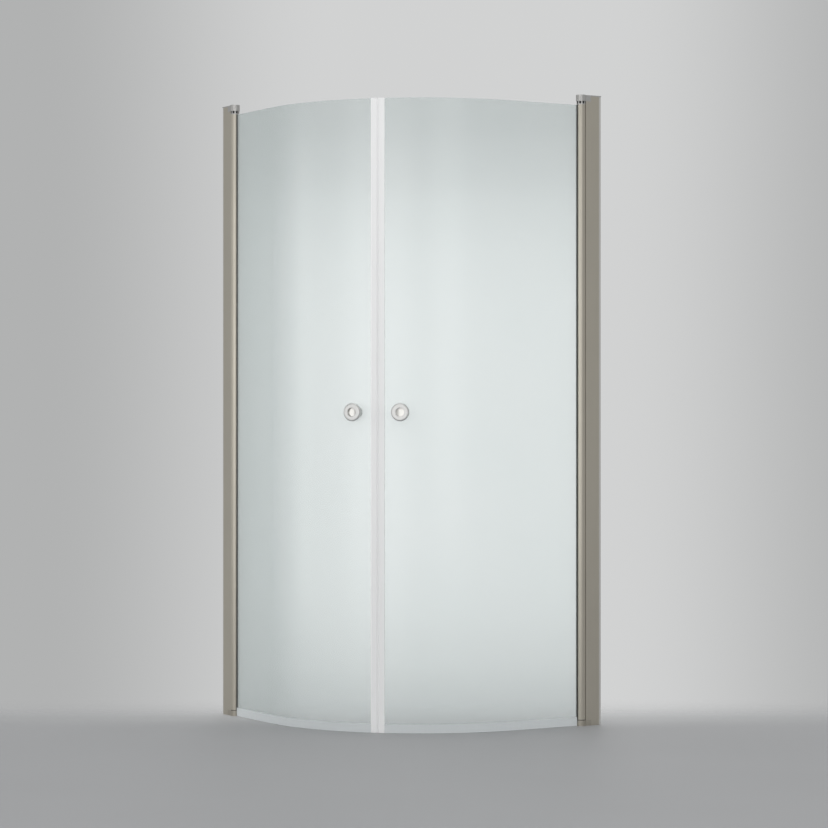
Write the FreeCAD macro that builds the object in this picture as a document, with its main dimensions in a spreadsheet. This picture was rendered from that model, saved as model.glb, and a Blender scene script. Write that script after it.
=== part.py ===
"""Quarter-round corner shower screen with two curved glass doors.

Millimetres, +Z up. The two walls are the planes x = +width/2 and y = +width/2 and the floor is z = 0,
so the origin lies on the floor in the middle of the screen. Every piece is built once for the left
door, which hangs on the wall at +Y, and the right one is its mirror image over the diagonal x = y.

Most left pieces are drawn in the hinge frame: origin on the hinge axis, +X into the shower, +Y to the
wall. Knob pieces use a frame on the glass with +X out of the shower, and edge seals one on the glass
edge that turns with the bend.
"""
import FreeCAD
import Part
import Sketcher
import os
import re

# Driving sizes in millimetres, apart from counts: name, value.
SIZES = [
    ("screen_width", 900),
    ("screen_height", 2000),
    ("bend_radius", 550),
    ("glass_thickness", 6),
    ("glass_drop", 1),
    ("glass_offset", 3),
    ("tube_diameter", 28),
    ("tube_wall", 2),
    ("tube_web", 1.5),
    ("bush_diameter", 10),
    ("bush_length", 40),
    ("bush_fit", 0.05),
    ("bush_flange_height", 2),
    ("bush_flange_diameter", 26),
    ("key_width", 3),
    ("key_depth", 1.2),
    ("key_length", 20),
    ("key_fit", 0.1),
    ("pin_diameter", 6),
    ("pin_reach", 36),
    ("pin_floor", 2),
    ("pin_fit", 0.05),
    ("press_fit", 0.02),
    ("lift_travel", 8),
    ("gasket_wall", 1.9),
    ("gasket_floor", 1),
    ("gasket_fit", 0.1),
    ("gasket_show", 1.5),
    ("cup_diameter", 32),
    ("cup_height", 20),
    ("cup_wall", 1.5),
    ("cup_roof", 3),
    ("cup_boss_diameter", 12),
    ("cup_boss_inset", 2),
    ("cup_round", 1),
    ("crown_show", 11),
    ("crown_cover", 3),
    ("crown_wall", 1.5),
    ("crown_run", 0.5),
    ("crown_base", 3),
    ("crown_slots", 8),
    ("crown_slot_width", 6.2),
    ("collar_gap", 0.6),
    ("collar_floor", 2),
    ("foot_height", 18),
    ("arm_reach", 32),
    ("spigot_depth", 18),
    ("spigot_fit", 0.2),
    ("seat_fit", 0.05),
    ("post_width", 20),
    ("post_wall", 1.8),
    ("post_web", 2),
    ("post_setback", 8),
    ("post_round", 0.5),
    ("post_cap_height", 3),
    ("post_cap_plug", 8),
    ("nose_depth", 12.5),
    ("post_lip", 3.5),
    ("chamber_depth", 10),
    ("tube_gap", 1),
    ("seal_run", 0.35),
    ("seal_width", 3.8),
    ("seal_seat", 2),
    ("channel_depth", 28),
    ("channel_back", 2.5),
    ("channel_leg", 1.8),
    ("slide_fit", 0.1),
    ("adjusting_room", 3),
    ("wall_hole_diameter", 6),
    ("wall_hole_inset", 98.5),
    ("wall_hole_count", 4),
    ("lock_screw_inset", 150),
    ("lock_screw_setback", 10),
    ("lock_screw_count", 3),
    ("lock_head_diameter", 7),
    ("lock_head_height", 2.2),
    ("lock_grip", 6),
    ("screw_diameter", 4),
    ("screw_fit", 0.1),
    ("screw_port_inset", 5.3),
    ("arm_head_diameter", 7),
    ("arm_head_height", 4),
    ("arm_head_fit", 0.2),
    ("arm_screw_grip", 14),
    ("socket_width", 3),
    ("socket_depth", 1.6),
    ("cover_wall", 1),
    ("cover_fit", 0.3),
    ("seal_wall", 1.2),
    ("seal_grip", 8),
    ("seal_fit", 0.1),
    ("seal_web", 1.5),
    ("seal_floor_gap", 1),
    ("fin_reach", 5.2),
    ("fin_fall", 9.5),
    ("seal_end_gap", 0.5),
    ("edge_grip", 12),
    ("edge_fit", 0.25),
    ("edge_wall", 1.15),
    ("nose_reach", 9.2),
    ("nose_shoulder", 4.5),
    ("nose_tip_radius", 1.2),
    ("meeting_gap", 0.8),
    ("magnet_width", 4.6),
    ("magnet_depth", 2.6),
    ("magnet_cover", 1.3),
    ("magnet_fit", 0.1),
    ("knob_setback", 73),
    ("knob_diameter", 56),
    ("knob_depth", 30),
    ("knob_foot_diameter", 28),
    ("knob_foot_height", 14),
    ("knob_flare", 8),
    ("knob_round", 5),
    ("knob_dish_diameter", 27),
    ("knob_dish_floor", 16.6),
    ("knob_cap_sag", 0.9),
    ("grip_diameter", 36),
    ("grip_depth", 11),
    ("grip_foot_diameter", 28),
    ("grip_foot_height", 3),
    ("grip_flare", 2.5),
    ("grip_round", 2.5),
    ("grip_dish_diameter", 18),
    ("grip_dish_floor", 6),
    ("grip_cap_sag", 0.4),
    ("dish_round", 1),
    ("cap_height", 1.8),
    ("cap_fit", 0.1),
    ("knob_washer", 1.2),
    ("knob_washer_diameter", 26),
    ("knob_washer_fit", 0.2),
    ("knob_hole_diameter", 10),
    ("sleeve_fit", 0.2),
    ("knob_screw_diameter", 5),
    ("knob_thread_depth", 9),
    ("knob_head_diameter", 9),
    ("knob_head_height", 2.6),
    ("knob_head_fit", 0.2),
    ("knob_end_gap", 0.2),
]

# Values worked out from the driving sizes. Positions "_y" and "_x" are in the hinge frame.
DERIVED = {
    "tube_radius": "tube_diameter / 2",
    "bore_radius": "bush_diameter / 2 + bush_fit",
    "hub_radius": "bore_radius + tube_web",
    "slot_half": "glass_thickness / 2 + gasket_wall + gasket_fit",
    "slot_floor": "hub_radius",
    "glass_edge": "slot_floor + gasket_fit + gasket_floor",
    "gasket_end": "tube_radius + gasket_show",
    "wall_y": "channel_depth + adjusting_room + post_web + chamber_depth + nose_depth + tube_gap"
              " + tube_radius",
    "hinge_x": "cup_diameter / 2 - screen_width / 2",
    "hinge_y": "screen_width / 2 - wall_y",
    "bend_x": "glass_offset + bend_radius",
    "straight_run": "hinge_y - hinge_x - bend_x",
    "cup_bottom": "screen_height - cup_height",
    "tube_bottom": "foot_height + bush_flange_height",
    "tube_top": "cup_bottom - crown_show",
    "glass_bottom": "tube_bottom",
    "glass_top": "tube_top - glass_drop",
    "knob_z": "(glass_bottom + glass_top) / 2",
    "crown_radius": "cup_diameter / 2 - cup_wall - crown_run",
    "pin_radius": "pin_diameter / 2",
    "post_half": "post_width / 2",
    "post_inside": "post_half - post_wall",
    "post_front_y": "tube_radius + tube_gap",
    "post_lip_y": "post_front_y - post_lip",
    "post_back_y": "wall_y - post_setback",
    "post_height": "screen_height - post_cap_height",
    "chamber_y": "post_front_y + nose_depth",
    "chamber_end_y": "chamber_y + chamber_depth",
    "cavity_y": "chamber_end_y + post_web",
    "screw_port_y": "post_front_y + screw_port_inset",
    "screw_hole": "screw_diameter / 2 + screw_fit",
    "channel_half": "post_inside - slide_fit",
    "lock_screw_y": "wall_y - channel_depth + lock_screw_setback",
    "lock_screw_step": "(post_height - 2 * lock_screw_inset) / (lock_screw_count - 1)",
    "glass_half": "glass_thickness / 2",
    "clip_inside": "glass_half + seal_fit",
    "clip_outside": "clip_inside + seal_wall",
    "edge_inside": "glass_half + edge_fit",
    "edge_outside": "edge_inside + edge_wall",
    "edge_setback": "nose_reach + meeting_gap / 2",
    "degrees_per_mm": "180 / pi / bend_radius",
    "glass_angle": "45 - edge_setback * degrees_per_mm",
    "seal_angle": "45 - (edge_setback + edge_grip + seal_end_gap) * degrees_per_mm",
    "knob_angle": "45 - knob_setback * degrees_per_mm",
    "knob_base": "glass_half + knob_washer",
    "knob_face": "knob_base + knob_depth",
    "knob_dish_bottom": "knob_base + knob_dish_floor",
    "grip_face": "knob_base + grip_depth",
    "grip_dish_bottom": "knob_base + grip_dish_floor",
    "knob_screw_hole": "knob_screw_diameter / 2 + screw_fit",
    "knob_cap_radius": "knob_dish_diameter / 2 - cap_fit",
    "grip_cap_radius": "grip_dish_diameter / 2 - cap_fit",
}

doc = FreeCAD.newDocument("shower_screen")
sheet = doc.addObject("Spreadsheet::Sheet", "Sizes")
for row, (alias, number) in enumerate(SIZES, start=1):
    sheet.set(f"A{row}", str(number))
    sheet.setAlias(f"A{row}", alias)
doc.recompute()

ALIASES = {alias for alias, number in SIZES}


def expand(text):
    """The sheet expression for a text that names sizes and derived values."""
    def swap(match):
        word = match.group(0)
        if word in DERIVED:
            return f"({expand(DERIVED[word])})"
        return f"Sizes.{word}" if word in ALIASES else word
    return re.sub(r"[a-z_]+", swap, text)


def value(text):
    return float(sheet.evalExpression(expand(text)))


def bind(item, prop, text):
    item.setExpression(prop, expand(text))


def place(item, x="0", y="0", z="0", turn=None):
    """Tie an object's position, and its turn about Z, to the sheet."""
    for axis, text in zip("xyz", (x, y, z)):
        bind(item, f"Placement.Base.{axis}", text)
    if turn:
        bind(item, "Placement.Rotation.Angle", turn)


def at_hinge(item):
    place(item, "hinge_x", "hinge_y")
    return item


def on_bend(item, angle, z="0", turn=None):
    """Place an object on the middle of the bent glass, at an angle round the bend."""
    place(item, f"hinge_x + bend_x - bend_radius * cos({angle})",
          f"hinge_y - straight_run - bend_radius * sin({angle})", z, turn or angle)
    return item


# Sketches and PartDesign features

def new_body(label):
    body = doc.addObject("PartDesign::Body", label)
    body.Label = label
    return body


def new_sketch(body, plane, offset=("0", "0", "0")):
    sketch = body.newObject("Sketcher::SketchObject", "Sketch")
    support = next(item for item in body.Origin.OriginFeatures if item.Role == plane)
    sketch.AttachmentSupport = [(support, "")]
    sketch.MapMode = "FlatFace"
    for axis, text in zip("xyz", offset):
        bind(sketch, f"AttachmentOffset.Base.{axis}", text)
    return sketch


def fix_point(sketch, geometry, point, x, y):
    for kind, text in (("DistanceX", x), ("DistanceY", y)):
        rule = Sketcher.Constraint(kind, -1, 1, geometry, point, value(text))
        bind(sketch, f"Constraints[{sketch.addConstraint(rule)}]", text)


def draw_polygon(sketch, corners):
    points = [FreeCAD.Vector(value(x), value(y), 0) for x, y in corners]
    ends = points[1:] + points[:1]
    lines = [sketch.addGeometry(Part.LineSegment(a, b), False) for a, b in zip(points, ends)]
    for line, following in zip(lines, lines[1:] + lines[:1]):
        sketch.addConstraint(Sketcher.Constraint("Coincident", line, 2, following, 1))
    for line, (x, y) in zip(lines, corners):
        fix_point(sketch, line, 1, x, y)


def draw_circle(sketch, radius, x="0", y="0"):
    centre = FreeCAD.Vector(value(x), value(y), 0)
    ring = Part.Circle(centre, FreeCAD.Vector(0, 0, 1), value(radius))
    circle = sketch.addGeometry(ring, False)
    fix_point(sketch, circle, 3, x, y)
    rule = sketch.addConstraint(Sketcher.Constraint("Radius", circle, value(radius)))
    bind(sketch, f"Constraints[{rule}]", radius)


def rectangle(x_low, x_high, y_low, y_high):
    return [(x_low, y_low), (x_high, y_low), (x_high, y_high), (x_low, y_high)]


def slab(body, kind, plane, low, high, polygons=(), circles=()):
    """A pad or pocket of some outlines, from low to high along the plane's own axis."""
    sign = "-1" if plane == "XZ_Plane" else "1"
    sketch = new_sketch(body, plane, ("0", "0", f"{sign} * (({low}) + ({high})) / 2"))
    for corners in polygons:
        draw_polygon(sketch, corners)
    for circle in circles:
        draw_circle(sketch, *circle)
    before = body.Shape.Volume if body.Tip else 0.0
    feature = body.newObject(kind, "Feature")
    feature.Profile = sketch
    feature.Midplane = True
    bind(feature, "Length", f"({high}) - ({low})")
    doc.recompute()
    change = body.Shape.Volume - before
    if (change > 0) != (kind == "PartDesign::Pad"):
        raise RuntimeError(f"{body.Label}: {kind} changed the volume by {change}")
    return feature


def pad(body, *where, **shape):
    return slab(body, "PartDesign::Pad", *where, **shape)


def pocket(body, *where, **shape):
    return slab(body, "PartDesign::Pocket", *where, **shape)


def repeat_up(body, feature, length, count):
    """Repeat a pocket at even steps up the piece."""
    pattern = body.newObject("PartDesign::LinearPattern", "Pattern")
    pattern.Originals = [feature]
    pattern.Direction = (feature.Profile[0], ["V_Axis"])
    bind(pattern, "Length", length)
    bind(pattern, "Occurrences", count)
    body.Tip = pattern
    doc.recompute()


def revolve(body, sketch, axis, angle="360"):
    feature = body.newObject("PartDesign::Revolution", "Revolution")
    feature.Profile = sketch
    feature.ReferenceAxis = (sketch, [axis])
    bind(feature, "Angle", angle)
    doc.recompute()


def round_edges(body, radius, chosen):
    """Round the edges of the body that the test picks."""
    base = body.Tip
    names = [f"Edge{i}" for i, edge in enumerate(base.Shape.Edges, start=1) if chosen(edge)]
    fillet = body.newObject("PartDesign::Fillet", "Fillet")
    fillet.Base = (base, names)
    bind(fillet, "Radius", radius)
    doc.recompute()


def near(a, b):
    return abs(a - b) < 1e-4


# Part primitives and booleans

UPRIGHT = FreeCAD.Rotation()
ALONG_X = FreeCAD.Rotation(FreeCAD.Vector(0, 1, 0), 90)
AGAINST_X = FreeCAD.Rotation(FreeCAD.Vector(0, 1, 0), -90)
UPSIDE_DOWN = FreeCAD.Rotation(FreeCAD.Vector(1, 0, 0), 180)


def block(x_low, x_high, y_low, y_high, z_low, z_high):
    item = doc.addObject("Part::Box", "Block")
    spans = (("Length", x_low, x_high), ("Width", y_low, y_high), ("Height", z_low, z_high))
    for prop, low, high in spans:
        bind(item, prop, f"({high}) - ({low})")
    place(item, x_low, y_low, z_low)
    return item


def rod(radius, low, high, x="0", y="0"):
    """An upright cylinder between two heights."""
    item = doc.addObject("Part::Cylinder", "Rod")
    bind(item, "Radius", radius)
    bind(item, "Height", f"({high}) - ({low})")
    place(item, x, y, low)
    return item


def axle(radius, low, high):
    """A cylinder along X between two distances."""
    item = doc.addObject("Part::Cylinder", "Axle")
    item.Placement = FreeCAD.Placement(FreeCAD.Vector(), ALONG_X)
    bind(item, "Radius", radius)
    bind(item, "Height", f"({high}) - ({low})")
    bind(item, "Placement.Base.x", low)
    return item


def cut(base, *tools):
    for tool in tools:
        item = doc.addObject("Part::Cut", "Cut")
        item.Base = base
        item.Tool = tool
        base = item
    return base


def fuse(*shapes):
    item = doc.addObject("Part::MultiFuse", "Fuse")
    item.Shapes = list(shapes)
    return item


def group(label, shapes):
    item = doc.addObject("Part::Compound", label)
    item.Links = list(shapes)
    item.Label = label
    return item


def named(label, item):
    item.Label = label
    doc.recompute()
    return item


def socket_screw(shank_radius, grip, head_radius, head_height, rotation, x, y, z):
    """A screw with a hexagon socket, its head's underside at the given point."""
    shank = rod(shank_radius, f"-1 * ({grip})", "0")
    head = rod(head_radius, "0", head_height)
    socket = doc.addObject("Part::Prism", "Socket")
    bind(socket, "Circumradius", "socket_width / sqrt(3)")
    bind(socket, "Height", "socket_depth")
    place(socket, z=f"{head_height} - socket_depth")
    screw = cut(fuse(shank, head), socket)
    screw.Placement = FreeCAD.Placement(FreeCAD.Vector(), rotation)
    for axis, text in zip("xyz", (x, y, z)):
        bind(screw, f"Placement.Base.{axis}", text)
    return screw


# Pieces fixed to the wall

def wall_channel(label):
    body = new_body(label)
    front = "wall_y - channel_depth"
    floor = "wall_y - channel_back"
    inside = "channel_half - channel_leg"
    section = [("-channel_half", "wall_y"), ("-channel_half", front), (f"-({inside})", front),
               (f"-({inside})", floor), (inside, floor), (inside, front), ("channel_half", front),
               ("channel_half", "wall_y")]
    pad(body, "XY_Plane", "0", "post_height", polygons=[section])
    wall_hole = pocket(body, "XZ_Plane", floor, "wall_y",
                       circles=[("wall_hole_diameter / 2", "0", "wall_hole_inset")])
    repeat_up(body, wall_hole, "post_height - 2 * wall_hole_inset", "wall_hole_count")
    lock_hole = pocket(body, "YZ_Plane", inside, "channel_half",
                       circles=[("screw_hole", "lock_screw_y", "lock_screw_inset")])
    repeat_up(body, lock_hole, "post_height - 2 * lock_screw_inset", "lock_screw_count")
    return at_hinge(body)


def hinge_post(label):
    body = new_body(label)
    outline = rectangle("-post_half", "post_half", "post_lip_y", "post_back_y")
    pad(body, "XY_Plane", "0", "post_height", polygons=[outline])
    round_edges(body, "post_round", lambda edge: near(edge.BoundBox.YMax, value("post_lip_y"))
                and near(edge.BoundBox.XLength, 0))
    pocket(body, "XY_Plane", "0", "post_height", circles=[("post_front_y",)])
    cavity = rectangle("-post_inside", "post_inside", "cavity_y", "post_back_y")
    chamber = rectangle("-post_inside", "post_inside", "chamber_y", "chamber_end_y")
    groove = rectangle("-seal_width / 2 - seat_fit", "seal_width / 2 + seat_fit",
                       "post_lip_y", "post_front_y + seal_seat")
    pocket(body, "XY_Plane", "0", "post_height", polygons=[cavity, chamber, groove],
           circles=[("screw_hole", "0", "screw_port_y")])
    arm_end = "arm_reach + seat_fit"
    top_notch = rectangle("post_lip_y", arm_end, "cup_bottom", "post_height")
    bottom_notch = rectangle("post_lip_y", arm_end, "0", "foot_height")
    pocket(body, "YZ_Plane", "-post_half", "post_half", polygons=[top_notch, bottom_notch])
    lock_hole = pocket(body, "YZ_Plane", "post_inside", "post_half",
                       circles=[("screw_hole", "lock_screw_y", "lock_screw_inset")])
    repeat_up(body, lock_hole, "post_height - 2 * lock_screw_inset", "lock_screw_count")
    return at_hinge(body)


def post_cap(label):
    body = new_body(label)
    pad(body, "XY_Plane", "post_height", "screen_height",
        polygons=[rectangle("-post_half", "post_half", "arm_reach + seat_fit", "wall_y")])
    side = "channel_half - channel_leg - spigot_fit"
    plug = rectangle(f"-({side})", side, "cavity_y + spigot_fit", "wall_y - channel_back - spigot_fit")
    pad(body, "XY_Plane", "post_height - post_cap_plug", "post_height", polygons=[plug])
    return at_hinge(body)


def spigot():
    """The arm's tongue, which locates it in the post's chamber."""
    side = "post_inside - spigot_fit"
    return rectangle(f"-({side})", side, "chamber_y + spigot_fit", "arm_reach")


def top_arm(label):
    body = new_body(label)
    bore = "cup_diameter / 2 - cup_wall"
    roof = "screen_height - cup_roof"
    arm = rectangle("-post_half", "post_half", "0", "arm_reach")
    head_hole = "arm_head_diameter / 2 + arm_head_fit"
    pad(body, "XY_Plane", "cup_bottom", "screen_height", circles=[("cup_diameter / 2",)])
    pad(body, "XY_Plane", "cup_bottom", "screen_height", polygons=[arm])
    round_edges(body, "cup_round", lambda edge: near(edge.BoundBox.ZMin, value("screen_height")))
    pocket(body, "XY_Plane", "cup_bottom", roof, circles=[(bore,)])
    pad(body, "XY_Plane", "cup_bottom + cup_boss_inset", roof, circles=[("cup_boss_diameter / 2",)])
    pocket(body, "XY_Plane", "cup_bottom", "screen_height - cup_roof / 2",
           circles=[("pin_radius + press_fit",)])
    pad(body, "XY_Plane", "cup_bottom - spigot_depth", "cup_bottom", polygons=[spigot()])
    pocket(body, "XY_Plane", "cup_bottom", "screen_height", circles=[("screw_hole", "0", "screw_port_y")])
    pocket(body, "XY_Plane", "screen_height - arm_head_height", "screen_height",
           circles=[(head_hole, "0", "screw_port_y")])
    return at_hinge(body)


def bottom_arm(label):
    body = new_body(label)
    arm = rectangle("-post_half", "post_half", "0", "arm_reach")
    head_hole = "arm_head_diameter / 2 + arm_head_fit"
    pad(body, "XY_Plane", "0", "foot_height", circles=[("tube_radius",)])
    pad(body, "XY_Plane", "0", "foot_height", polygons=[arm])
    pocket(body, "XY_Plane", "pin_floor", "foot_height", circles=[("pin_radius + press_fit",)])
    pad(body, "XY_Plane", "foot_height", "foot_height + spigot_depth", polygons=[spigot()])
    pocket(body, "XY_Plane", "0", "foot_height", circles=[("screw_hole", "0", "screw_port_y")])
    pocket(body, "XY_Plane", "0", "arm_head_height", circles=[(head_hole, "0", "screw_port_y")])
    return at_hinge(body)


def hinge_pin(label, low, high):
    body = new_body(label)
    pad(body, "XY_Plane", low, high, circles=[("pin_radius",)])
    return at_hinge(body)


def arm_screws(label):
    size = ("screw_diameter / 2", "{} - arm_head_height + arm_screw_grip", "arm_head_diameter / 2",
            "arm_head_height")
    shank, grip, head, height = size
    top = socket_screw(shank, grip.format("cup_height"), head, height, UPRIGHT,
                       "0", "screw_port_y", "screen_height - arm_head_height")
    bottom = socket_screw(shank, grip.format("foot_height"), head, height, UPSIDE_DOWN,
                          "0", "screw_port_y", "arm_head_height")
    return at_hinge(group(label, [top, bottom]))


def lock_heights():
    steps = range(int(value("lock_screw_count")))
    return [f"lock_screw_inset + {step} * lock_screw_step" for step in steps]


def adjusting_screws(label):
    screws = [socket_screw("screw_diameter / 2", "lock_grip", "lock_head_diameter / 2",
                           "lock_head_height", ALONG_X, "post_half", "lock_screw_y", height)
              for height in lock_heights()]
    return at_hinge(group(label, screws))


def screw_covers(label):
    inside = "lock_head_diameter / 2 + cover_fit"
    depth = "post_half + lock_head_height + cover_fit"
    covers = []
    for height in lock_heights():
        cover = cut(axle(f"{inside} + cover_wall", "post_half", f"{depth} + cover_wall"),
                    axle(inside, "post_half", depth))
        place(cover, y="lock_screw_y", z=height)
        covers.append(cover)
    return at_hinge(group(label, covers))


def hinge_seal(label):
    body = new_body(label)
    strip = rectangle("-seal_width / 2", "seal_width / 2", "tube_radius + seal_run",
                      "post_front_y + seal_seat")
    pad(body, "XY_Plane", "foot_height", "glass_top", polygons=[strip])
    return at_hinge(body)


# Pieces that turn with the door

def bottom_bush(label):
    """Flanged bush that carries the door, keyed so that it turns with the tube."""
    flange = rod("bush_flange_diameter / 2", "foot_height", "tube_bottom")
    barrel = rod("bush_diameter / 2", "foot_height", "tube_bottom + bush_length")
    key = block("-key_width / 2", "key_width / 2", "0", "bush_diameter / 2 + key_depth",
                "tube_bottom", "tube_bottom + key_length")
    bore = rod("pin_radius + pin_fit", "foot_height", "tube_bottom + bush_length")
    return at_hinge(named(label, cut(fuse(flange, barrel, key), bore)))


def hinge_tube(label):
    outside = rod("tube_radius", "tube_bottom", "tube_top")
    bore = rod("bore_radius", "tube_bottom", "tube_top")
    slot = block("glass_offset - slot_half", "glass_offset + slot_half", "-tube_radius", "-slot_floor",
                 "tube_bottom", "tube_top")
    key_half = "key_width / 2 + key_fit"
    keyway = block(f"-({key_half})", key_half, "0", "bush_diameter / 2 + key_depth + key_fit",
                   "tube_bottom", "tube_bottom + key_length + lift_travel")
    hollow = rod("tube_radius - tube_wall", "tube_bottom", "tube_top")
    hub = rod("hub_radius", "tube_bottom", "tube_top")
    pocket_side = "slot_half + tube_web"
    pocket_walls = block(f"glass_offset - ({pocket_side})", f"glass_offset + {pocket_side}",
                         "-tube_radius", "0", "tube_bottom", "tube_top")
    web_half = "key_width / 2 + key_fit + tube_web"
    web = block(f"-({web_half})", web_half, "0", "tube_radius", "tube_bottom", "tube_top")
    chambers = cut(hollow, hub, pocket_walls, web)
    return at_hinge(named(label, cut(outside, chambers, bore, slot, keyway)))


def crown_ring(label):
    """Ring with open slots that guides the tube's top inside the cup."""
    body = new_body(label)
    top = "cup_bottom + crown_cover"
    pad(body, "XY_Plane", "tube_top", top, circles=[("crown_radius",), ("crown_radius - crown_wall",)])
    slot = rectangle("-crown_slot_width / 2", "crown_slot_width / 2", "0", "crown_radius")
    notch = pocket(body, "XY_Plane", "tube_top + crown_base", top, polygons=[slot])
    pattern = body.newObject("PartDesign::PolarPattern", "Pattern")
    pattern.Originals = [notch]
    pattern.Axis = (notch.Profile[0], ["N_Axis"])
    bind(pattern, "Occurrences", "crown_slots")
    body.Tip = pattern
    doc.recompute()
    return at_hinge(body)


def top_bush(label):
    """Bush for the top pin, with a collar that fills the crown and clears the cup's boss."""
    collar = "crown_radius - crown_wall - seat_fit"
    collar_top = "cup_bottom - collar_gap"
    barrel = rod("bush_diameter / 2", "tube_top - bush_length", "tube_top")
    flange = rod(collar, "tube_top", collar_top)
    well = rod("cup_boss_diameter / 2 + collar_gap", "tube_top + collar_floor", collar_top)
    bore = rod("pin_radius + pin_fit", "tube_top - bush_length", collar_top)
    return at_hinge(named(label, cut(fuse(barrel, flange), well, bore)))


def glazing_gasket(label):
    body = new_body(label)
    outside = "slot_half - gasket_fit"
    floor = "-1 * glass_edge"
    end = "-1 * gasket_end"
    section = [(f"-({outside})", "-slot_floor - gasket_fit"), (outside, "-slot_floor - gasket_fit"),
               (outside, end), ("glass_half", end), ("glass_half", floor), ("-glass_half", floor),
               ("-glass_half", end), (f"-({outside})", end)]
    section = [(f"glass_offset + ({x})", y) for x, y in section]
    pad(body, "XY_Plane", "glass_bottom", "glass_top", polygons=[section])
    return at_hinge(body)


def bent_strip(body, section, start, angle):
    """Run a section along the door's line: straight from start to the bend, then round the bend.

    The section is drawn at the start of the bend, measured from the bend's own upright axis.
    """
    sketch = new_sketch(body, "XZ_Plane", ("bend_x", "0", "straight_run"))
    draw_polygon(sketch, [(f"({x}) - bend_radius", z) for x, z in section])
    straight = body.newObject("PartDesign::Pad", "Straight")
    straight.Profile = sketch
    straight.Reversed = True
    bind(straight, "Length", f"straight_run - ({start})")
    revolve(body, sketch, "V_Axis", angle)


def door_glass(label):
    body = new_body(label)
    section = rectangle("-glass_half", "glass_half", "glass_bottom", "glass_top")
    bent_strip(body, section, "glass_edge", "glass_angle")
    hole = new_sketch(body, "YZ_Plane", ("-straight_run", "knob_z", "bend_x"))
    about_upright = FreeCAD.Rotation(FreeCAD.Vector(0, 1, 0), 1)
    hole.AttachmentOffset = FreeCAD.Placement(FreeCAD.Vector(), about_upright)
    bind(hole, "AttachmentOffset.Rotation.Angle", "knob_angle")
    draw_circle(hole, "knob_hole_diameter / 2")
    before = body.Shape.Volume
    drilling = body.newObject("PartDesign::Pocket", "KnobHole")
    drilling.Profile = hole
    bind(drilling, "Length", "bend_radius + glass_thickness")
    doc.recompute()
    if body.Shape.Volume >= before:
        raise RuntimeError("the knob hole missed the glass")
    return at_hinge(body)


def bottom_seal(label):
    """Clip on the lower glass edge, with a floor lip outside and a drip fin inside."""
    body = new_body(label)
    web = "glass_bottom - seal_web"
    top = "glass_bottom + seal_grip"
    lip = "clip_outside - seal_wall"
    section = [("-clip_outside", top), ("-clip_inside", top), ("-clip_inside", "glass_bottom"),
               ("clip_inside", "glass_bottom"), ("clip_inside", top), ("clip_outside", top),
               ("clip_outside", web), ("clip_outside + fin_reach", f"{web} - fin_fall"),
               ("clip_outside + fin_reach - seal_wall", f"{web} - fin_fall"), ("clip_inside", web),
               (f"-({lip})", web), (f"-({lip})", "seal_floor_gap"), ("-clip_outside", "seal_floor_gap")]
    bent_strip(body, section, "gasket_end + seal_end_gap", "seal_angle")
    return at_hinge(body)


def edge_seal(label):
    """Clip on the closing edge with a pointed round nose, in the frame of the glass edge."""
    body = new_body(label)
    sketch = new_sketch(body, "XY_Plane", ("0", "0", "seal_floor_gap"))
    shoulder = "-1 * nose_shoulder"
    corners = [("-edge_outside", shoulder), ("-edge_outside", "edge_grip"), ("-edge_inside", "edge_grip"),
               ("-edge_inside", "0"), ("edge_inside", "0"), ("edge_inside", "edge_grip"),
               ("edge_outside", "edge_grip"), ("edge_outside", shoulder)]
    points = [FreeCAD.Vector(value(x), value(y), 0) for x, y in corners]
    lines = [sketch.addGeometry(Part.LineSegment(a, b), False) for a, b in zip(points, points[1:])]
    for line, following in zip(lines, lines[1:]):
        sketch.addConstraint(Sketcher.Constraint("Coincident", line, 2, following, 1))
    for line, (x, y) in zip(lines, corners):
        fix_point(sketch, line, 1, x, y)
    fix_point(sketch, lines[-1], 2, *corners[-1])
    radius = value("nose_tip_radius")
    centre = FreeCAD.Vector(0, radius - value("nose_reach"), 0)
    left = centre + FreeCAD.Vector(-radius, 0, 0)
    right = centre + FreeCAD.Vector(radius, 0, 0)
    bottom = centre + FreeCAD.Vector(0, -radius, 0)
    flank_right = sketch.addGeometry(Part.LineSegment(points[-1], right), False)
    tip = sketch.addGeometry(Part.Arc(left, bottom, right), False)
    flank_left = sketch.addGeometry(Part.LineSegment(left, points[0]), False)
    sketch.addConstraint(Sketcher.Constraint("Coincident", lines[-1], 2, flank_right, 1))
    sketch.addConstraint(Sketcher.Constraint("Coincident", flank_left, 2, lines[0], 1))
    fix_point(sketch, tip, 3, "0", "nose_tip_radius - nose_reach")
    rule = sketch.addConstraint(Sketcher.Constraint("Radius", tip, radius))
    bind(sketch, f"Constraints[{rule}]", "nose_tip_radius")
    sketch.addConstraint(Sketcher.Constraint("Tangent", flank_right, 2, tip, 2))
    sketch.addConstraint(Sketcher.Constraint("Tangent", tip, 1, flank_left, 1))
    draw_polygon(sketch, magnet_section("magnet_fit"))
    strip = body.newObject("PartDesign::Pad", "Strip")
    strip.Profile = sketch
    bind(strip, "Length", "glass_top - seal_floor_gap")
    doc.recompute()
    return on_bend(body, "glass_angle")


def magnet_section(clearance):
    side = f"magnet_width / 2 + {clearance}"
    front = f"-1 * magnet_cover - magnet_depth - {clearance}"
    return rectangle(f"-({side})", side, front, f"{clearance} - magnet_cover")


def magnet_strip(label):
    body = new_body(label)
    pad(body, "XY_Plane", "seal_floor_gap", "glass_top", polygons=[magnet_section("0")])
    return on_bend(body, "glass_angle")


# Knob set, in a frame on the glass with +X out of the shower

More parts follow.
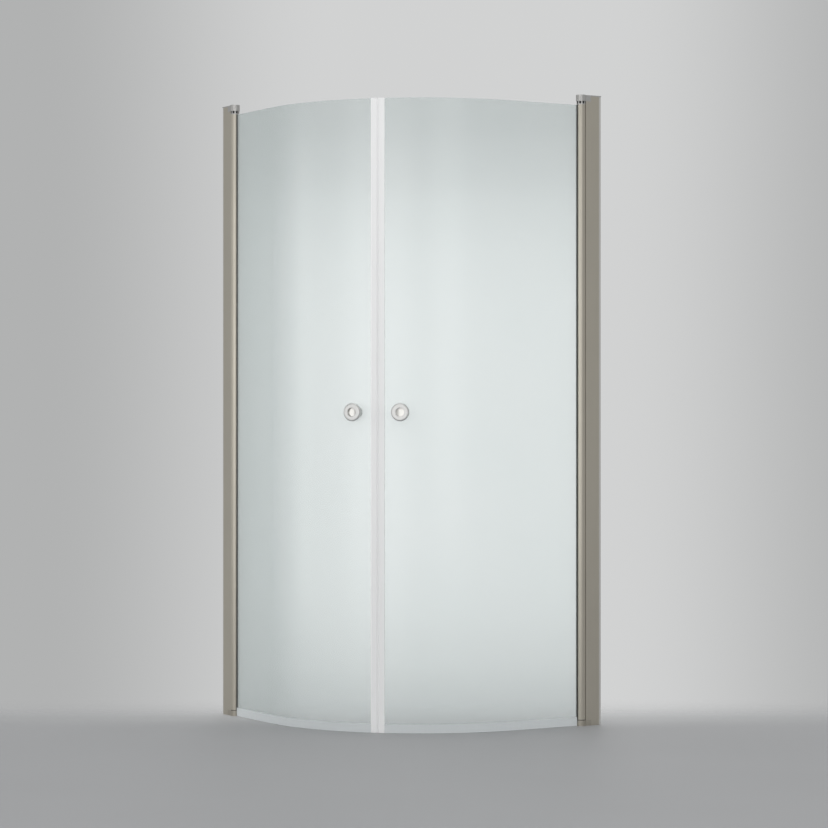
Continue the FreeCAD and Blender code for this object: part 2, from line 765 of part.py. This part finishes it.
def dished_knob(label, size, turn, screw_hole):
    """Mushroom knob with a round dish; its sizes' names start with size, and it is turned on its axis."""
    body = new_body(label)
    sketch = new_sketch(body, "XY_Plane")
    rim = f"{size}_diameter / 2"
    foot = f"{size}_foot_diameter / 2"
    foot_top = f"knob_base + {size}_foot_height"
    face = f"{size}_face"
    dish = f"{size}_dish_diameter / 2"
    outside = [("knob_base", foot), (foot_top, foot), (f"{foot_top} + {size}_flare", rim),
               (face, rim), (face, dish), (f"{size}_dish_bottom", dish)]
    draw_polygon(sketch, outside + screw_hole)
    revolve(body, sketch, "H_Axis")
    round_edges(body, f"{size}_round", lambda edge: near(edge.BoundBox.ZMax, value(rim))
                and near(edge.BoundBox.XMin, value(face)))
    round_edges(body, "dish_round", lambda edge: near(edge.BoundBox.ZMax, value(dish))
                and near(edge.BoundBox.XMin, value(face)))
    return on_bend(body, "knob_angle", "knob_z", turn)


def outer_knob(label):
    thread_end = "knob_base + knob_thread_depth"
    blind = [("knob_dish_bottom", "0"), (thread_end, "0"), (thread_end, "knob_screw_hole"),
             ("knob_base", "knob_screw_hole")]
    return dished_knob(label, "knob", "knob_angle + 180", blind)


def inner_knob(label):
    head = "knob_head_diameter / 2 + knob_head_fit"
    seat = "grip_dish_bottom - knob_head_height"
    through = [("grip_dish_bottom", head), (seat, head), (seat, "knob_screw_hole"),
               ("knob_base", "knob_screw_hole")]
    return dished_knob(label, "grip", "knob_angle", through)


def knob_caps(label):
    """Two polished discs, dished like a lens, one in each knob."""
    caps = []
    for size, rotation in (("knob", UPRIGHT), ("grip", FreeCAD.Rotation(FreeCAD.Vector(0, 0, 1), 180))):
        radius = f"{size}_cap_radius"
        sag = f"{size}_cap_sag"
        bottom = f"{size}_dish_bottom"
        ball_radius = f"({radius} ^ 2 + {sag} ^ 2) / (2 * {sag})"
        ball = doc.addObject("Part::Sphere", "Dish")
        bind(ball, "Radius", ball_radius)
        place(ball, x=f"{bottom} + cap_height - {sag} + {ball_radius}")
        cap = cut(axle(radius, bottom, f"{bottom} + cap_height"), ball)
        cap.Placement = FreeCAD.Placement(FreeCAD.Vector(), rotation)
        caps.append(cap)
    return on_bend(group(label, caps), "knob_angle", "knob_z", "knob_angle + 180")


def knob_washers(label):
    """Soft washers on both faces of the glass, flat to the knob and bent to the glass."""
    disc = axle("knob_washer_diameter / 2", "-1 * knob_base", "knob_base")
    hole = axle("knob_hole_diameter / 2", "-1 * knob_base", "knob_base")
    low = "-1 * knob_washer_diameter / 2"
    bend = ("knob_washer_diameter / 2", "-1 * bend_radius")
    room = "glass_half + knob_washer_fit"
    glass = cut(rod(f"bend_radius + {room}", low, *bend), rod(f"bend_radius - ({room})", low, *bend))
    washers = named(label, cut(disc, hole, glass))
    return on_bend(washers, "knob_angle", "knob_z", "knob_angle + 180")


def knob_sleeve(label):
    end = "knob_base - knob_end_gap"
    sleeve = cut(axle("knob_hole_diameter / 2 - sleeve_fit", f"-1 * ({end})", end),
                 axle("knob_screw_hole", f"-1 * ({end})", end))
    return on_bend(named(label, sleeve), "knob_angle", "knob_z", "knob_angle + 180")


def knob_screw(label):
    seat = "grip_dish_bottom - knob_head_height"
    grip = f"{seat} + knob_base + knob_thread_depth - knob_end_gap"
    screw = socket_screw("knob_screw_diameter / 2", grip, "knob_head_diameter / 2", "knob_head_height",
                         AGAINST_X, f"-1 * ({seat})", "0", "0")
    return on_bend(group(label, [screw]), "knob_angle", "knob_z", "knob_angle + 180")


LEFT_PIECES = [
    wall_channel("left_wall_channel"),
    hinge_post("left_hinge_post"),
    post_cap("left_post_cap"),
    adjusting_screws("left_adjusting_screws"),
    screw_covers("left_screw_covers"),
    top_arm("left_top_arm"),
    hinge_pin("left_top_pin", "tube_top - pin_reach", "screen_height - cup_roof / 2 - seat_fit"),
    bottom_arm("left_bottom_arm"),
    hinge_pin("left_bottom_pin", "pin_floor + seat_fit", "tube_bottom + pin_reach"),
    arm_screws("left_arm_screws"),
    hinge_seal("left_hinge_seal"),
    bottom_bush("left_bottom_bush"),
    hinge_tube("left_hinge_tube"),
    crown_ring("left_crown_ring"),
    top_bush("left_top_bush"),
    glazing_gasket("left_glazing_gasket"),
    door_glass("left_door_glass"),
    bottom_seal("left_bottom_seal"),
    edge_seal("left_edge_seal"),
    magnet_strip("left_magnet_strip"),
    outer_knob("left_outer_knob"),
    inner_knob("left_inner_knob"),
    knob_caps("left_knob_caps"),
    knob_washers("left_knob_washers"),
    knob_sleeve("left_knob_sleeve"),
    knob_screw("left_knob_screw"),
]


def mirrored(piece):
    """The same piece on the other wall, over the upright diagonal plane x = y."""
    twin = doc.addObject("Part::Mirroring", piece.Label.replace("left", "right"))
    twin.Source = piece
    twin.Normal = FreeCAD.Vector(1, -1, 0)
    twin.Label = piece.Label.replace("left", "right")
    return twin


PIECES = LEFT_PIECES + [mirrored(piece) for piece in LEFT_PIECES]
doc.recompute()

failed = [item.Label for item in doc.Objects if {"Invalid", "Error"} & set(item.State)]
if failed:
    raise RuntimeError(f"objects that failed: {failed}")
for piece in PIECES:
    if piece.Shape.isNull() or not piece.Shape.isValid() or not piece.Shape.Solids:
        raise RuntimeError(f"{piece.Label} has no valid solid")

os.makedirs("parts", exist_ok=True)
for piece in PIECES:
    piece.Shape.exportStep(f"parts/{piece.Label}.step")
    box = piece.Shape.BoundBox
    print(f"{piece.Label}: {len(piece.Shape.Solids)} solids, {piece.Shape.Volume:.1f} mm3, "
          f"x {box.XMin:.2f}..{box.XMax:.2f} y {box.YMin:.2f}..{box.YMax:.2f} "
          f"z {box.ZMin:.2f}..{box.ZMax:.2f}")
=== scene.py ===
"""Looks for the curved corner shower screen: finishes, floor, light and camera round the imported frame."""

import math

import bpy
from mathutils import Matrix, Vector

SIDES = ("left", "right")

# The view of the photograph, in the model's frame.
CAMERA_PLACE = (-4.4134, -7.3824, 0.9885)
CAMERA_TILT_DEG = 90.0
CAMERA_TURN_DEG = -31.0
CAMERA_LENS = 115.5
SENSOR_WIDTH = 36.0
VIEW_LINE = (0.515, 0.857, 0.0)
ACROSS_VIEW = (0.846, -0.533, 0.0)

# The backdrop: linear colours of its edge and middle, its dimming behind glass, and between which
# sideways parts of a direction the middle tone gives way to the edge's. Then the strength of the even light.
BACKDROP_EDGE = (0.44, 0.445, 0.445, 1.0)
BACKDROP_MIDDLE = (0.64, 0.645, 0.645, 1.0)
BACKDROP_THROUGH_GLASS = (0.76, 0.79, 0.79, 1.0)
BACKDROP_FALL = (0.05, 0.16)
WORLD_LIGHT = 0.92

# The floor: linear colour, roughness, clouds per metre and half its side, then the distances in metres
# over which it fades out behind the object and all round it.
FLOOR = (0.333, 0.338, 0.346, 1.0)
FLOOR_ROUGHNESS = 0.6
FLOOR_CLOUDS = 1.5
FLOOR_HALF = 20.0
FLOOR_FADE_BEHIND = (-0.30, 0.65)
FLOOR_FADE_ROUND = (3.2, 7.0)

# The soft boxes: place, aim, width and height in metres, radiance, and whether matt surfaces miss them.
SOFT_BOXES = {
    "left_box": ((-3.4, -2.1, 1.3), (0.0, 0.0, 1.0), (3.0, 2.4), 0.9, True),
    "front_box": ((-1.2, -5.0, 1.6), (0.0, 0.0, 1.0), (1.8, 2.4), 0.8, False),
    "back_box": ((-3.4, 1.5, 1.2), (0.0, 0.0, 1.0), (0.9, 2.2), 0.8, False),
    "top_box": ((-0.6, -0.8, 4.5), (0.0, 0.0, 0.0), (3.5, 3.5), 0.45, False),
}

# The light behind the doors: plan places of the strips and of what they face, their number, the middle
# and half the height of the ladder, the strips' width, and the radiance at mid height.
BEHIND_PLACE = (1.02, 1.33)
BEHIND_AIM = (0.02, -0.33)
BEHIND_STRIPS = 12
BEHIND_MIDDLE = 0.91
BEHIND_REACH = 1.13
BEHIND_WIDTH = 1.58
BEHIND_RADIANCE = 0.47

# Frosted glass: two close tones of its face, its tone at a slant and the green of its upper edge.
GLASS_FACE = ((0.825, 0.865, 0.860, 1.0), (0.855, 0.882, 0.879, 1.0))
GLASS_SLANT = (0.58, 0.645, 0.635, 1.0)
GLASS_EDGE = (0.50, 0.68, 0.63, 1.0)

# Noise: its roughness, then per metre the lines along a profile, the fine grain and the slow clouds
# of each kind of finish.
NOISE_ROUGHNESS = 0.55
METAL_LINES = (700.0, 700.0, 4.0)
METAL_CLOUDS = 9.0
CAST_GRAIN = 1800.0
CAST_CLOUDS = 25.0
MOULDED_GRAIN = 1200.0
MOULDED_CLOUDS = 18.0
GLASS_GRAIN = 900.0
GLASS_CLOUDS = 3.0
SEAL_LINES = (500.0, 500.0, 6.0)

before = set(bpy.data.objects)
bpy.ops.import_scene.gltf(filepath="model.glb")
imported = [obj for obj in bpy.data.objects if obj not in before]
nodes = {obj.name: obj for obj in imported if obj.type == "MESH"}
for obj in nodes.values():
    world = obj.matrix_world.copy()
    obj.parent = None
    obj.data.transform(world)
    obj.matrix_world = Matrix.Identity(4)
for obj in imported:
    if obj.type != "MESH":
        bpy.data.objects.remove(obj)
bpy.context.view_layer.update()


class Finish:
    """One material's node tree, with short calls for the nodes that the finishes share."""

    def __init__(self, name):
        self.material = bpy.data.materials.new(name)
        self.material.use_nodes = True
        self.tree = self.material.node_tree
        self.surface = self.tree.nodes["Principled BSDF"]
        self.place = self.add("ShaderNodeTexCoord").outputs["Object"]

    def add(self, kind, **settings):
        made = self.tree.nodes.new(kind)
        for key, setting in settings.items():
            setattr(made, key, setting)
        return made

    def join(self, output, node, socket):
        self.tree.links.new(output, node.inputs[socket])

    def set(self, **values):
        """Values that are the same all over, by the socket's name with _ for a space."""
        for key, setting in values.items():
            self.surface.inputs[key.replace("_", " ")].default_value = setting

    def noise(self, per_metre, detail):
        """Noise in the model's own metres; per_metre is one number or one for each axis."""
        spread = per_metre if hasattr(per_metre, "__len__") else (per_metre,) * 3
        stretch = self.add("ShaderNodeMapping")
        stretch.inputs["Scale"].default_value = spread
        self.join(self.place, stretch, "Vector")
        made = self.add("ShaderNodeTexNoise")
        made.inputs["Scale"].default_value = 1.0
        made.inputs["Detail"].default_value = detail
        made.inputs["Roughness"].default_value = NOISE_ROUGHNESS
        self.join(stretch.outputs["Vector"], made, "Vector")
        return made.outputs["Fac"]

    def remap(self, fac, low, high, from_low=0.3, from_high=0.7, smooth=False):
        made = self.add("ShaderNodeMapRange")
        if smooth:
            made.interpolation_type = "SMOOTHSTEP"
        made.inputs["From Min"].default_value = from_low
        made.inputs["From Max"].default_value = from_high
        made.inputs["To Min"].default_value = low
        made.inputs["To Max"].default_value = high
        self.join(fac, made, "Value")
        return made.outputs["Result"]

    def blend(self, fac, first, second):
        """A colour between two, each a colour or an output."""
        made = self.add("ShaderNodeMix", data_type="RGBA")
        self.join(fac, made, "Factor")
        for socket, colour in ((6, first), (7, second)):
            if hasattr(colour, "is_linked"):
                self.tree.links.new(colour, made.inputs[socket])
            else:
                made.inputs[socket].default_value = colour
        return made.outputs[2]

    def bump(self, height, distance, strength):
        made = self.add("ShaderNodeBump")
        made.inputs["Distance"].default_value = distance
        made.inputs["Strength"].default_value = strength
        self.join(height, made, "Height")
        return made.outputs["Normal"]

    def feed(self, **outputs):
        for key, output in outputs.items():
            self.join(output, self.surface, key.replace("_", " "))


def shade(colour, factor):
    return tuple(channel * factor for channel in colour[:3]) + (1.0,)


def drawn_metal(name, colour, roughness):
    """Anodised or turned metal: fine lines along the profile, and a faint cloudiness from handling."""
    made = Finish(name)
    lines = made.noise(METAL_LINES, detail=4.0)
    clouds = made.noise(METAL_CLOUDS, detail=2.0)
    tone = made.blend(lines, shade(colour, 0.93), shade(colour, 1.06))
    tone = made.blend(made.remap(clouds, 0.0, 0.25), tone, shade(colour, 0.90))
    made.feed(
        Base_Color=tone,
        Roughness=made.remap(lines, roughness - 0.05, roughness + 0.07),
        Normal=made.bump(lines, distance=0.00003, strength=0.35),
    )
    made.set(Metallic=1.0)
    return made.material


def cast_metal(name, colour, roughness):
    """Painted or bead-blasted casting: a fine even grain."""
    made = Finish(name)
    grain = made.noise(CAST_GRAIN, detail=2.0)
    clouds = made.noise(CAST_CLOUDS, detail=2.0)
    tone = made.blend(clouds, shade(colour, 0.94), shade(colour, 1.05))
    made.feed(
        Base_Color=tone,
        Roughness=made.remap(grain, roughness - 0.06, roughness + 0.08),
        Normal=made.bump(grain, distance=0.00004, strength=0.4),
    )
    made.set(Metallic=1.0)
    return made.material


def moulded(name, colour, roughness):
    """Moulded plastic or rubber: fine texture and a slow change of tone."""
    made = Finish(name)
    grain = made.noise(MOULDED_GRAIN, detail=3.0)
    clouds = made.noise(MOULDED_CLOUDS, detail=2.0)
    tone = made.blend(clouds, shade(colour, 0.88), shade(colour, 1.10))
    made.feed(
        Base_Color=tone,
        Roughness=made.remap(grain, roughness - 0.08, roughness + 0.08),
        Normal=made.bump(grain, distance=0.00005, strength=0.4),
    )
    return made.material


def frosted_glass(name):
    """Satin toughened glass: a haze over a pale green body that deepens where it is seen at a slant."""
    made = Finish(name)
    grain = made.noise(GLASS_GRAIN, detail=2.0)
    clouds = made.noise(GLASS_CLOUDS, detail=2.0)
    face = made.blend(clouds, *GLASS_FACE)
    facing = made.add("ShaderNodeLayerWeight").outputs["Facing"]
    slant = made.remap(facing, 0.0, 1.0, from_low=0.20, from_high=0.80)
    face = made.blend(slant, face, GLASS_SLANT)
    split = made.add("ShaderNodeSeparateXYZ")
    made.join(made.add("ShaderNodeTexCoord").outputs["Normal"], split, "Vector")
    edge = made.remap(split.outputs["Z"], 0.0, 1.0, from_low=0.4, from_high=0.6)
    made.feed(
        Base_Color=made.blend(edge, face, GLASS_EDGE),
        Roughness=made.remap(grain, 0.20, 0.26),
        Normal=made.bump(grain, distance=0.00002, strength=0.15),
    )
    made.set(IOR=1.5, Transmission_Weight=0.80, Specular_IOR_Level=0.3)
    return made.material


def clear_seal(name, colour, roughness, transmission):
    """Soft clear extrusion: milky, with faint lines along its length."""
    made = Finish(name)
    lines = made.noise(SEAL_LINES, detail=3.0)
    made.feed(
        Base_Color=made.blend(lines, shade(colour, 0.96), shade(colour, 1.03)),
        Roughness=made.remap(lines, roughness - 0.06, roughness + 0.08),
        Normal=made.bump(lines, distance=0.00005, strength=0.3),
    )
    made.set(IOR=1.52, Transmission_Weight=transmission)
    return made.material


FINISHES = {
    "post_aluminium": drawn_metal("post_aluminium_finish", (0.60, 0.56, 0.48, 1.0), 0.36),
    "channel_aluminium": drawn_metal("channel_aluminium_finish", (0.80, 0.79, 0.76, 1.0), 0.40),
    "cast_silver": cast_metal("cast_silver_finish", (0.58, 0.57, 0.555, 1.0), 0.34),
    # A warmer, darker copy of the cast finish for the bottom arm: its darkness is painted shade for its
    # place low by the floor.
    "cast_warm_painted_shade": cast_metal("cast_warm_finish", (0.52, 0.485, 0.415, 1.0), 0.36),
    "grey_plastic": moulded("grey_plastic_finish", (0.30, 0.30, 0.30, 1.0), 0.50),
    "steel": drawn_metal("steel_finish", (0.58, 0.58, 0.57, 1.0), 0.25),
    "black_rubber": moulded("black_rubber_finish", (0.012, 0.012, 0.013, 1.0), 0.60),
    "black_plastic": moulded("black_plastic_finish", (0.006, 0.006, 0.007, 1.0), 0.60),
    "frosted_glass": frosted_glass("frosted_glass_finish"),
    "clear_seal": clear_seal("clear_seal_finish", (0.94, 0.945, 0.945, 1.0), 0.35, 0.06),
    "floor_seal": clear_seal("floor_seal_finish", (0.76, 0.80, 0.81, 1.0), 0.35, 0.12),
    "magnet": moulded("magnet_finish", (0.80, 0.80, 0.79, 1.0), 0.55),
    "knob_satin": drawn_metal("knob_satin_finish", (0.76, 0.755, 0.74, 1.0), 0.38),
    "knob_polished": drawn_metal("knob_polished_finish", (0.72, 0.71, 0.68, 1.0), 0.18),
    "soft_washer": clear_seal("soft_washer_finish", (0.80, 0.82, 0.83, 1.0), 0.40, 0.30),
    "white_plastic": moulded("white_plastic_finish", (0.80, 0.80, 0.79, 1.0), 0.40),
}

SLOT_OF = {
    "wall_channel": "channel_aluminium",
    "hinge_post": "post_aluminium",
    "post_cap": "grey_plastic",
    "adjusting_screws": "steel",
    "screw_covers": "grey_plastic",
    "top_arm": "cast_silver",
    "top_pin": "steel",
    # The bottom arm takes the darker copy of the cast finish, with painted shade.
    "bottom_arm": "cast_warm_painted_shade",
    "bottom_pin": "steel",
    "arm_screws": "steel",
    "hinge_seal": "black_rubber",
    "bottom_bush": "black_plastic",
    "hinge_tube": "post_aluminium",
    "crown_ring": "cast_silver",
    "top_bush": "black_plastic",
    "glazing_gasket": "black_rubber",
    "door_glass": "frosted_glass",
    "bottom_seal": "floor_seal",
    "edge_seal": "clear_seal",
    "magnet_strip": "magnet",
    "outer_knob": "knob_satin",
    "inner_knob": "knob_satin",
    "knob_caps": "knob_polished",
    "knob_washers": "soft_washer",
    "knob_sleeve": "white_plastic",
    "knob_screw": "steel",
}

SEE_THROUGH = ("door_glass", "edge_seal")

for side in SIDES:
    for piece, slot in SLOT_OF.items():
        node = nodes[f"{side}_{piece}"]
        for index in range(len(node.material_slots)):
            node.material_slots[index].material = FINISHES[slot]

# Light reaches what lies behind the see-through pieces, which throw no shadow.
for side in SIDES:
    for piece in SEE_THROUGH:
        nodes[f"{side}_{piece}"].visible_shadow = False


def make_floor():
    """A wide plain floor that fades out into the backdrop behind the object and far away."""
    mesh = bpy.data.meshes.new("floor")
    corners = [(-1, -1), (1, -1), (1, 1), (-1, 1)]
    mesh.from_pydata([(x * FLOOR_HALF, y * FLOOR_HALF, 0.0) for x, y in corners], [], [(0, 1, 2, 3)])
    floor = bpy.data.objects.new("floor", mesh)
    bpy.context.scene.collection.objects.link(floor)
    made = Finish("floor_finish")
    away = made.add("ShaderNodeVectorMath", operation="DOT_PRODUCT")
    away.inputs[1].default_value = VIEW_LINE
    made.join(made.place, away, 0)
    reach = made.add("ShaderNodeVectorMath", operation="LENGTH")
    made.join(made.place, reach, 0)
    behind = made.remap(away.outputs["Value"], 0.0, 1.0, *FLOOR_FADE_BEHIND, smooth=True)
    far = made.remap(reach.outputs["Value"], 0.0, 1.0, *FLOOR_FADE_ROUND, smooth=True)
    both = made.add("ShaderNodeMath", operation="MAXIMUM")
    made.join(behind, both, 0)
    made.join(far, both, 1)
    clouds = made.noise(FLOOR_CLOUDS, detail=2.0)
    made.feed(Base_Color=made.blend(clouds, shade(FLOOR, 0.97), shade(FLOOR, 1.03)))
    made.set(Roughness=FLOOR_ROUGHNESS)
    gone = made.add("ShaderNodeBsdfTransparent")
    mixed = made.add("ShaderNodeMixShader")
    made.join(both.outputs[0], mixed, 0)
    made.join(made.surface.outputs[0], mixed, 1)
    made.join(gone.outputs[0], mixed, 2)
    made.join(mixed.outputs[0], made.tree.nodes["Material Output"], "Surface")
    mesh.materials.append(made.material)


def make_world():
    """A pale backdrop, lighter behind the object, for the camera, metal and glass, and an even light."""
    world = bpy.data.worlds.new("studio")
    bpy.context.scene.world = world
    world.use_nodes = True
    tree = world.node_tree
    place = tree.nodes.new("ShaderNodeTexCoord")
    across = tree.nodes.new("ShaderNodeVectorMath")
    across.operation = "DOT_PRODUCT"
    across.inputs[1].default_value = ACROSS_VIEW
    tree.links.new(place.outputs["Generated"], across.inputs[0])
    aside = tree.nodes.new("ShaderNodeMath")
    aside.operation = "ABSOLUTE"
    tree.links.new(across.outputs["Value"], aside.inputs[0])
    fall = tree.nodes.new("ShaderNodeMapRange")
    fall.interpolation_type = "SMOOTHSTEP"
    fall.inputs["From Min"].default_value, fall.inputs["From Max"].default_value = BACKDROP_FALL
    tree.links.new(aside.outputs[0], fall.inputs["Value"])
    tone = tree.nodes.new("ShaderNodeMix")
    tone.data_type = "RGBA"
    tone.inputs[6].default_value = BACKDROP_MIDDLE
    tone.inputs[7].default_value = BACKDROP_EDGE
    tree.links.new(fall.outputs["Result"], tone.inputs["Factor"])
    path = tree.nodes.new("ShaderNodeLightPath")
    dimmed = tree.nodes.new("ShaderNodeMix")
    dimmed.data_type = "RGBA"
    dimmed.blend_type = "MULTIPLY"
    dimmed.inputs[7].default_value = BACKDROP_THROUGH_GLASS
    tree.links.new(path.outputs["Is Transmission Ray"], dimmed.inputs["Factor"])
    tree.links.new(tone.outputs[2], dimmed.inputs[6])
    seen = tree.nodes["Background"]
    tree.links.new(dimmed.outputs[2], seen.inputs["Color"])
    light = tree.nodes.new("ShaderNodeBackground")
    light.inputs["Color"].default_value = (1.0, 1.0, 1.0, 1.0)
    light.inputs["Strength"].default_value = WORLD_LIGHT
    total = path.outputs["Is Camera Ray"]
    for ray in ("Is Glossy Ray", "Is Transmission Ray"):
        either = tree.nodes.new("ShaderNodeMath")
        either.operation = "MAXIMUM"
        tree.links.new(total, either.inputs[0])
        tree.links.new(path.outputs[ray], either.inputs[1])
        total = either.outputs[0]
    mixed = tree.nodes.new("ShaderNodeMixShader")
    tree.links.new(total, mixed.inputs[0])
    tree.links.new(light.outputs[0], mixed.inputs[1])
    tree.links.new(seen.outputs[0], mixed.inputs[2])
    tree.links.new(mixed.outputs[0], tree.nodes["World Output"].inputs["Surface"])


def soft_lamp(name, place, aim, size, radiance, only_mirrored=False):
    """A rectangular soft box at place, turned towards aim, as bright as radiance all over."""
    width, height = size
    lamp = bpy.data.lights.new(name, "AREA")
    lamp.shape = "RECTANGLE"
    lamp.size = width
    lamp.size_y = height
    lamp.energy = radiance * math.pi * width * height
    holder = bpy.data.objects.new(name, lamp)
    bpy.context.scene.collection.objects.link(holder)
    start = Vector(place)
    holder.location = start
    holder.rotation_euler = (Vector(aim) - start).to_track_quat("-Z", "Y").to_euler()
    holder.visible_camera = False
    holder.visible_diffuse = not only_mirrored


def light_behind_doors():
    """Strips of light one over the other, brightest at mid height, that the frosted glass lets through."""
    strip_height = 2.0 * BEHIND_REACH / BEHIND_STRIPS
    for number in range(BEHIND_STRIPS):
        height = BEHIND_MIDDLE - BEHIND_REACH + strip_height * (number + 0.5)
        away = (height - BEHIND_MIDDLE) / BEHIND_REACH
        soft_lamp(
            f"strip_{number}",
            (*BEHIND_PLACE, height),
            (*BEHIND_AIM, height),
            (BEHIND_WIDTH, strip_height),
            BEHIND_RADIANCE * (1.0 - away**4),
        )


def make_camera():
    camera = bpy.data.objects.new("camera", bpy.data.cameras.new("camera"))
    bpy.context.scene.collection.objects.link(camera)
    camera.location = CAMERA_PLACE
    camera.rotation_euler = (math.radians(CAMERA_TILT_DEG), 0.0, math.radians(CAMERA_TURN_DEG))
    camera.data.sensor_width = SENSOR_WIDTH
    camera.data.lens = CAMERA_LENS
    bpy.context.scene.camera = camera


make_floor()
make_world()
for name, box in SOFT_BOXES.items():
    soft_lamp(name, *box)
light_behind_doors()
make_camera()
bpy.context.scene.view_settings.view_transform = "Standard"
